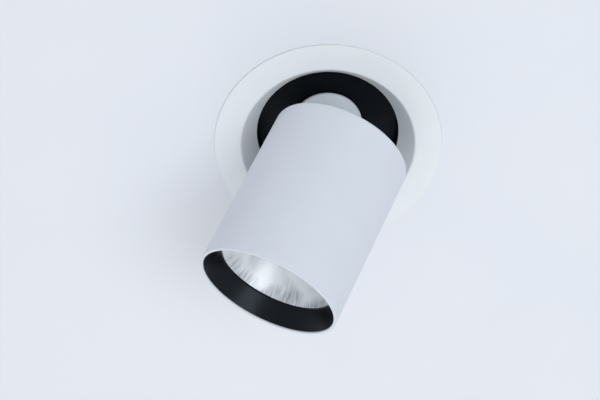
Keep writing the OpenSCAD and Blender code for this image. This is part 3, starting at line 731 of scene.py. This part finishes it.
# Spindle and nut: brass, turned bright. The hollow spindle hangs the arm from the can and lets the
# leads through. The nut sets the friction of the turn.


def turned_brass():
    """Brass with the lathe's fine rings, and a darker bloom here and there."""
    material, tree, shader = finish("turned_brass", Metallic=1.0)
    bloom = between(tree, cloud(tree, size=0.006, detail=3), 0, 1, start=0.4, end=0.75)
    tone = blend_of(tree, bloom, (0.80, 0.62, 0.30), (0.60, 0.43, 0.19))
    tree.links.new(tone, shader.inputs["Base Color"])
    rings = cloud(tree, size=0.00025, stretch=(0.04, 0.04, 1))
    tree.links.new(between(tree, rings, 0.2, 0.34), shader.inputs["Roughness"])
    place = add(tree, "ShaderNodeTexCoord").outputs["Object"]
    pitch = add(tree, "ShaderNodeTexWave", {"Vector": place, "Scale": 320.0}, bands_direction="Z")
    fine = relief(tree, shader, rings, depth=0.000004)
    relief(tree, shader, pitch.outputs["Fac"], depth=0.00004, under=fine)
    return material


brass = turned_brass()
softened("spindle", brass, radius=0.25)
softened("spindle_nut", brass, radius=0.4, steps=3)

# Stop washer and spring washer: both stamped, one in plated steel with the finger that ends the turn,
# one conical, in tempered steel, that keeps the turn stiff.
softened("stop_washer", strip, radius=0.15)
softened("spring_washer", tempered, radius=0.1)

# Lead grommet: moulded in black rubber and pressed into the spindle's top, where the leads go in, so
# that the brass edge does not chafe them.
rubber = moulded("black_rubber", (0.012, 0.012, 0.013), (0.022, 0.022, 0.023), roughness=0.6,
                 grain=0.0004, depth=0.00002)
softened("lead_grommet", rubber, radius=0.3, steps=3)

# Arm: die-cast in white, a round foot under the disc, a flat bar and the eye that the tilt pin goes
# through. Two screws hold its foot.
softened("tilt_arm", white_coat, radius=0.6, steps=3)
screwed("foot_screws", -up, zinc, length=9.4, seed=5)

# Head shell: extruded aluminium tube with a rounded closed back, slotted for the arm, in a white satin
# coat, painted greyer and bluer than the trim's white as painted shade. Three screws through its back hold
# the heat sink.
head_r = 38.25
head_wall = 1.5
back_z = 17.9
back_t = 2.5
back_corner_r = 3.0
mouth_z = -78.5
slot_half_w = 5.0
slot_near = -7.0
slot_over = 2.0
wall_match = 0.001 * mm


def middle(node):
    """Middle of a CAD node's box."""
    low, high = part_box(node)
    return (low + high) / 2


def slot_low():
    """Lowest point of the slot in the head's own height, read from the CAD's shell."""
    corners = [corner.co for corner in frame["nodes"]["head_shell"].data.vertices]
    inside = [place for place in corners if abs(abs(place.y) - slot_half_w * mm) < wall_match]
    return min((place - head_home) @ head_axis for place in inside) / mm


head_home = hinge("tilt")
head_axis = (head_home - middle("emitter")) * Vector((1, 0, 1))
head_axis.normalize()
rest_tilt = atan2(-head_axis.x, head_axis.z)
head_place = Matrix.Translation(head_home) @ Matrix.Rotation(-rest_tilt, 4, "Y")

# Painted shade: the head's coat is greyer and bluer than the trim's white
head_coat_painted_shade = powder_coat("head_satin_coat", (0.665, 0.695, 0.75), (0.68, 0.71, 0.765), roughness=0.45,
                        gloss=0.35, grain=0.0003)
bore_r = head_r - head_wall
shell = bmesh.new()
turn(shell, eased([
    (bore_r, mouth_z, 0.2), (head_r, mouth_z, 0.3), (head_r, back_z, back_corner_r), (0, back_z, 0),
    (0, back_z - back_t, 0), (bore_r, back_z - back_t, 0.8),
], steps=6), steps=256)
shell.transform(head_place)
shell = made("head_shell_turned", shell, head_coat_painted_shade)
slot = bmesh.new()
slot_far = head_r + slot_over
slot_sides = [(slot_near, -slot_half_w), (slot_far, -slot_half_w),
              (slot_far, slot_half_w), (slot_near, slot_half_w)]
extrude(slot, slot_sides, slot_low(), back_z + slot_over)
slot.transform(head_place)
cut_by(shell, made("slot", slot, head_coat_painted_shade))
stands_for(ease(shell, radius=0.25, split=40), "head_shell")
screwed("back_screws", head_axis, zinc, length=10.3, seed=11)

# Heat sink: die-cast in bare aluminium, with a base, a pedestal for the yoke, three posts up to the
# head's back and a ring of cooling fins.
sink_r = 36.65
sink_top = -26.0
sink_base_t = 6.0
pedestal_h = 10.0
pedestal_r = 12.5
post_r = 3.5
post_out = 30.05
post_root = 1.0
post_sides = 24
post_turns = (60, 180, 300)
fins = 20
fin_t = 1.4
fin_h = 14.0
fin_root = 0.3
fin_sunk = 0.5
fin_reach = 35.6
fin_draft = 0.25
fin_slope = 3.0


def calc(tree, operation, *values):
    """Result of a Math node on values or links."""
    return add(tree, "ShaderNodeMath", dict(enumerate(values)), operation=operation).outputs[0]


def fins_tree():
    """Tree that sets tapered fins in a ring about the axis, each sloping down at its outer end."""
    tree, given = new_tree(
        "ring of fins", ("Fins", "Int", 20), ("Inner radius", "Float", 0.01), ("Outer radius", "Float", 0.03),
        ("Thickness", "Float", 0.001), ("Height", "Float", 0.01), ("Draft", "Float", 0.2),
        ("Slope", "Float", 0.002), ("Material", "Material", None))
    reach = calc(tree, "SUBTRACT", given["Outer radius"], given["Inner radius"])
    size = add(tree, "ShaderNodeCombineXYZ", {0: reach, 1: given["Thickness"], 2: given["Height"]})
    bar = add(tree, "GeometryNodeMeshCube", {"Size": size.outputs[0]})
    place = add(tree, "ShaderNodeSeparateXYZ", {0: add(tree, "GeometryNodeInputPosition").outputs[0]})
    x_share = calc(tree, "ADD", calc(tree, "DIVIDE", place.outputs[0], reach), 0.5)
    z_share = calc(tree, "ADD", calc(tree, "DIVIDE", place.outputs[2], given["Height"]), 0.5)
    x = calc(tree, "MULTIPLY_ADD", x_share, reach, given["Inner radius"])
    thin = calc(tree, "SUBTRACT", 1.0, calc(tree, "MULTIPLY", given["Draft"], z_share))
    y = calc(tree, "MULTIPLY", place.outputs[1], thin)
    drop = calc(tree, "MULTIPLY", given["Slope"], calc(tree, "MULTIPLY", x_share, z_share))
    z = calc(tree, "SUBTRACT", calc(tree, "MULTIPLY", z_share, given["Height"]), drop)
    point = add(tree, "ShaderNodeCombineXYZ", {0: x, 1: y, 2: z})
    fin = add(tree, "GeometryNodeSetPosition", {"Geometry": bar.outputs[0], "Position": point.outputs[0]})
    middles = add(tree, "GeometryNodePoints", {"Count": given["Fins"]})
    index = add(tree, "GeometryNodeInputIndex").outputs[0]
    whole_turns = calc(tree, "MULTIPLY", calc(tree, "ADD", index, 0.5), 2 * pi)
    turn_by = add(tree, "ShaderNodeCombineXYZ", {2: calc(tree, "DIVIDE", whole_turns, given["Fins"])})
    placed = add(tree, "GeometryNodeInstanceOnPoints", {
        "Points": middles.outputs[0], "Instance": fin.outputs[0], "Rotation": turn_by.outputs[0]})
    end_tree(tree, placed.outputs[0], given["Material"])
    return tree


cast_aluminium = bare_metal("cast_aluminium", (0.56, 0.57, 0.59), (0.64, 0.65, 0.66), roughness=0.5,
                            spread=0.14, grain=0.0005, depth=0.00003)
sink = bmesh.new()
turn(sink, eased([
    (0, sink_top - sink_base_t, 0), (sink_r, sink_top - sink_base_t, 0.5), (sink_r, sink_top, 0.5),
    (pedestal_r, sink_top, 0.8), (pedestal_r, sink_top + pedestal_h, 0.4), (0, sink_top + pedestal_h, 0),
]), steps=128)
around_post = [2 * pi * i / post_sides for i in range(post_sides)]
post = [(post_out + post_r * cos(a), post_r * sin(a)) for a in around_post]
for degrees in post_turns:
    extrude(sink, post, sink_top - post_root, back_z - back_t, about(degrees))
sink.transform(head_place)
stands_for(ease(made("heat_sink_cast", sink, cast_aluminium)), "heat_sink")
ribs = grown("heat_sink_fins", fins_tree(), fins=fins, inner_radius=(pedestal_r - fin_root) * mm,
             outer_radius=fin_reach * mm, thickness=fin_t * mm, height=(fin_h + fin_sunk) * mm,
             draft=fin_draft, slope=fin_slope * mm, material=cast_aluminium)
ribs.data.transform(head_place @ Matrix.Translation((0, 0, (sink_top - fin_sunk) * mm)))
stands_for(ease(ribs, radius=0.15), "heat_sink")

# Yoke: folded from zinc-plated steel and held on the heat sink's pedestal by two screws. Its ears
# stand on both sides of the arm's eye and carry the tilt pin.
softened("yoke", strip, radius=0.4, steps=3)
screwed("yoke_screws", head_axis, zinc, length=10.8, seed=13)

# Tilt joint: a headed pin through both ears and the arm's eye, held by a nut. Nylon washers on both
# sides of the eye keep the head where it is set.
for node in ("tilt_washer_a", "tilt_washer_b"):
    softened(node, nylon, radius=0.15)
softened("tilt_pin", hard_steel, radius=0.5, steps=3)
softened("tilt_nut", zinc, radius=0.4, steps=3)

# Light board and emitter: a white-masked board with the lit disc bonded on it, yellow phosphor in soft
# silicone inside a white dam.
dam_r = 6.5
dam_edge = 0.1
chip_pitch = 1.6


def in_head_axes(tree):
    """Object coordinates turned and moved so that Z is the head's axis."""
    place = add(tree, "ShaderNodeTexCoord").outputs["Object"]
    home = head_place.inverted().translation
    return add(tree, "ShaderNodeMapping", {
        "Vector": place, "Rotation": (0, rest_tilt, 0), "Location": home}).outputs["Vector"]


def phosphor():
    """Yellow granular phosphor with the chips showing through, and a white dam round it."""
    material, tree, shader = finish(
        "phosphor", Roughness=0.35, Subsurface_Weight=0.2, Subsurface_Scale=0.0006)
    x, y = add(tree, "ShaderNodeSeparateXYZ", {0: in_head_axes(tree)}).outputs[:2]
    far = calc(tree, "SQRT", calc(tree, "ADD", calc(tree, "MULTIPLY", x, x), calc(tree, "MULTIPLY", y, y)))
    grain = blend_of(tree, cloud(tree, size=0.00025, detail=3), (0.74, 0.56, 0.10), (0.86, 0.72, 0.22))
    step = 2 * pi / (chip_pitch * mm)
    waves = calc(tree, "MULTIPLY", calc(tree, "SINE", calc(tree, "MULTIPLY", x, step)),
                 calc(tree, "SINE", calc(tree, "MULTIPLY", y, step)))
    chips = between(tree, waves, 0, 0.35, start=0.55, end=0.8)
    field = blend_of(tree, chips, grain, (0.90, 0.82, 0.45))
    dam = between(tree, far, 0, 1, start=(dam_r - dam_edge) * mm, end=(dam_r + dam_edge) * mm)
    tree.links.new(blend_of(tree, dam, field, (0.86, 0.86, 0.84)), shader.inputs["Base Color"])
    grit = relief(tree, shader, cloud(tree, size=0.0003, detail=3), depth=0.00002)
    relief(tree, shader, dam, depth=0.00015, under=grit)
    return material


board_mask = moulded("white_solder_mask", (0.80, 0.80, 0.77), (0.86, 0.86, 0.83), roughness=0.4, grain=0.0008)
softened("light_board", board_mask, radius=0.15)
softened("emitter", phosphor(), radius=0.15)

# Board holder: a heat-proof white moulding that clamps the board to the sink and centres the
# reflector's neck. Two screws hold it.
holder_white = moulded("heat_proof_white", (0.74, 0.74, 0.71), (0.80, 0.80, 0.77), roughness=0.5,
                       grain=0.0004, depth=0.000015)
softened("board_holder", holder_white, radius=0.4, steps=3)
screwed("holder_screws", -head_axis, zinc, length=11.8, seed=17)

# Reflector: moulded, with fine flutes that run from its neck to its mouth, then metallised and
# lacquered. No two flutes lie alike. Its light tone, and the grey patches and streaks that run along
# the flutes, are painted reflections. A flat rim at its mouth sits behind the baffle.
neck_r = 8.5
reflector_r = 31.1
reflector_top = -37.0
reflector_low = -66.5
reflector_t = 1.1
reflector_rim_r = 35.25
reflector_rim_in = 0.3
reflector_rim_t = 1.0
flutes = 128
flute_depth = 0.02
flute_scatter = 0.03
steps_per_flute = 4.0
bowl_rows = 31
crease_within = 0.05
count_slack = 0.001
seam_weld = 0.001 * mm


def reflector_tree():
    """Tree that bends a grid to a parabolic bowl with flutes, no two alike, open at neck and mouth."""
    tree, given = new_tree(
        "fluted bowl", ("Neck radius", "Float", 0.01), ("Mouth radius", "Float", 0.03),
        ("Length", "Float", 0.03), ("Flutes", "Int", 90), ("Flute depth", "Float", 0.0001),
        ("Scatter", "Float", 0.0001), ("Seed", "Float", 3.0), ("Material", "Material", None))
    columns = calc(tree, "MULTIPLY_ADD", given["Flutes"], steps_per_flute, 1.0)
    grid = add(tree, "GeometryNodeMeshGrid", {
        "Size X": 1.0, "Size Y": 1.0, "Vertices X": columns, "Vertices Y": bowl_rows}).outputs[0]
    place = add(tree, "ShaderNodeSeparateXYZ", {0: add(tree, "GeometryNodeInputPosition").outputs[0]})
    around = calc(tree, "ADD", place.outputs[0], 0.5)
    along = calc(tree, "ADD", place.outputs[1], 0.5)
    count = calc(tree, "MULTIPLY", around, given["Flutes"])

    # Crease between flutes: the grid's edges that lie at a whole number of flutes
    off = calc(tree, "ABSOLUTE", calc(tree, "SUBTRACT", count, calc(tree, "ROUND", count)))
    crease = add(tree, "FunctionNodeCompare", {0: off, 1: crease_within}, data_type="FLOAT",
                 operation="LESS_THAN")
    creased = add(tree, "GeometryNodeSetShadeSmooth", {
        0: grid, 1: crease.outputs[0], 2: False}, domain="EDGE")

    def chance(number):
        """A random number for the crease of that number, the last one being the first again."""
        wrapped = calc(tree, "ADD", calc(tree, "MODULO", number, given["Flutes"]), given["Seed"])
        return add(tree, "ShaderNodeTexWhiteNoise", {"W": wrapped}, noise_dimensions="1D").outputs["Value"]

    flute = calc(tree, "FLOOR", calc(tree, "ADD", count, count_slack))
    share = calc(tree, "SUBTRACT", count, flute)
    low, high = chance(flute), chance(calc(tree, "ADD", flute, 1.0))
    lean = calc(tree, "MULTIPLY_ADD", calc(tree, "SUBTRACT", high, low), share, low)
    bulge = calc(tree, "MULTIPLY", calc(tree, "MULTIPLY", share, calc(tree, "SUBTRACT", 1.0, share)), 4.0)
    neck, mouth = (calc(tree, "MULTIPLY", given[end], given[end]) for end in ("Neck radius", "Mouth radius"))
    widening = calc(tree, "SUBTRACT", mouth, neck)
    bowl = calc(tree, "SQRT", calc(tree, "MULTIPLY_ADD", widening, along, neck))
    inward = calc(tree, "ADD", calc(tree, "MULTIPLY", bulge, given["Flute depth"]),
                  calc(tree, "MULTIPLY", lean, given["Scatter"]))
    r = calc(tree, "SUBTRACT", bowl, inward)
    angle = calc(tree, "MULTIPLY", around, 2 * pi)
    point = add(tree, "ShaderNodeCombineXYZ", {
        0: calc(tree, "MULTIPLY", r, calc(tree, "COSINE", angle)),
        1: calc(tree, "MULTIPLY", r, calc(tree, "SINE", angle)),
        2: calc(tree, "MULTIPLY", along, calc(tree, "MULTIPLY", given["Length"], -1.0))})
    bent = add(tree, "GeometryNodeSetPosition", {
        "Geometry": creased.outputs[0], "Position": point.outputs[0]})
    closed = add(tree, "GeometryNodeMergeByDistance", {
        "Geometry": bent.outputs[0], "Distance": seam_weld})
    end_tree(tree, closed.outputs[0], given["Material"])
    return tree


def bright_metal_painted_reflections():
    """Metallised and lacquered, drawn mostly as a light diffuse colour, with grey patches and fine streaks in
    it that are painted reflections.
    """
    material, tree, shader = finish("metallised_reflector", Metallic=0.1)
    home = in_head_axes(tree)
    flat = add(tree, "ShaderNodeVectorMath", {0: home, 1: (1, 1, 0)}, operation="MULTIPLY").outputs[0]
    compass = add(tree, "ShaderNodeVectorMath", {0: flat}, operation="NORMALIZE").outputs[0]

    def along_flutes(rise, scale, detail, start):
        """Noise by compass direction, that changes along the axis by its rise per metre."""
        place = add(tree, "ShaderNodeVectorMath", {
            0: home, 1: (0, 0, rise), 2: compass}, operation="MULTIPLY_ADD")
        return add(tree, "ShaderNodeTexNoise", {
            "Vector": place.outputs[0], "W": start, "Scale": scale, "Detail": detail,
        }, noise_dimensions="4D").outputs["Fac"]

    painted_reflection_streaks = along_flutes(rise=4, scale=34.0, detail=3.0, start=0.0)
    patches = along_flutes(rise=40, scale=2.0, detail=1.0, start=21.0)
    # Painted reflections: grey patches, with streaks in them, darken the light tone
    grey = calc(tree, "MULTIPLY", between(tree, patches, 0, 1, start=0.4, end=0.62),
                between(tree, painted_reflection_streaks, 1, 0.25, start=0.36, end=0.62))
    tone = blend_of(tree, grey, (0.85, 0.875, 0.91), (0.33, 0.355, 0.40))
    tree.links.new(tone, shader.inputs["Base Color"])
    gloss = between(tree, cloud(tree, size=0.01, detail=3), 0.2, 0.28)
    tree.links.new(gloss, shader.inputs["Roughness"])
    relief(tree, shader, painted_reflection_streaks, depth=0.000003)
    return material


mirror_painted_reflections = bright_metal_painted_reflections()
bowl = grown("reflector_fluted", reflector_tree(), neck_radius=neck_r * mm, mouth_radius=reflector_r * mm,
             length=(reflector_top - reflector_low) * mm, flutes=flutes, flute_depth=flute_depth * mm,
             scatter=flute_scatter * mm, seed=3.0, material=mirror_painted_reflections)
facing = bmesh.new()
facing.from_mesh(bowl.data)
facing.normal_update()
if sum(face.normal.dot(face.calc_center_median() * Vector((1, 1, 0))) for face in facing.faces) > 0:
    bmesh.ops.reverse_faces(facing, faces=facing.faces)
facing.to_mesh(bowl.data)
facing.free()
bowl.data.transform(head_place @ Matrix.Translation((0, 0, reflector_top * mm)))
sheet = bowl.modifiers.new("sheet", "SOLIDIFY")
sheet.thickness = reflector_t * mm
sheet.offset = -1
baked(bowl)
stands_for(bowl, "reflector")
rim_in_r = reflector_r + reflector_rim_in
rim = bmesh.new()
turn(rim, eased([
    (rim_in_r, reflector_low, 0.1), (reflector_rim_r, reflector_low, 0.2),
    (reflector_rim_r, reflector_low + reflector_rim_t, 0.3), (rim_in_r, reflector_low + reflector_rim_t, 0.1),
], steps=2), steps=128)
rim.transform(head_place)
stands_for(ease(made("reflector_rim", rim, mirror_painted_reflections)), "reflector")

# Baffle: moulded in black plastic with a fine satin skin. The blue in its black and in its specular
# tint paints a bluish sheen. Its cone hides the bright reflector from the side, and its skirt is a push fit
# in the tube.
baffle_r = 36.65
baffle_bore_r = 31.3
baffle_mouth_z = -78.2
baffle_in_z = -67.5
baffle_t = 1.2
baffle_skirt_z = -62.5
baffle_rim_w = 1.4

# Painted sheen: the blue base and blue specular tint colour the baffle's reflection
black_plastic_painted_blue_sheen = powder_coat("baffle_black_plastic", (0.0003, 0.0006, 0.002), (0.0006, 0.001, 0.003),
                            roughness=0.31, gloss=0.25, Specular_Tint=(0.78, 0.88, 1.0, 1.0))
skirt_in_r = baffle_r - baffle_t
slant = (baffle_in_z - baffle_mouth_z) / (baffle_r - baffle_bore_r)
back_rise = baffle_t * sqrt(1 + slant ** 2)
back_in_r = baffle_bore_r + baffle_rim_w
cone_back = [(r, baffle_in_z - (r - baffle_bore_r) * slant + back_rise) for r in (skirt_in_r, back_in_r)]
baffle = bmesh.new()
turn(baffle, eased([
    (baffle_r, baffle_mouth_z, 0.12), (baffle_r, baffle_skirt_z, 0.2), (skirt_in_r, baffle_skirt_z, 0.2),
    (*cone_back[0], 0.3), (*cone_back[1], 0), (back_in_r, reflector_low, 0),
    (baffle_bore_r, reflector_low, 0.1), (baffle_bore_r, baffle_in_z, 0.3),
], steps=3))
baffle.transform(head_place)
stands_for(ease(made("baffle_turned", baffle, black_plastic_painted_blue_sheen)), "baffle")
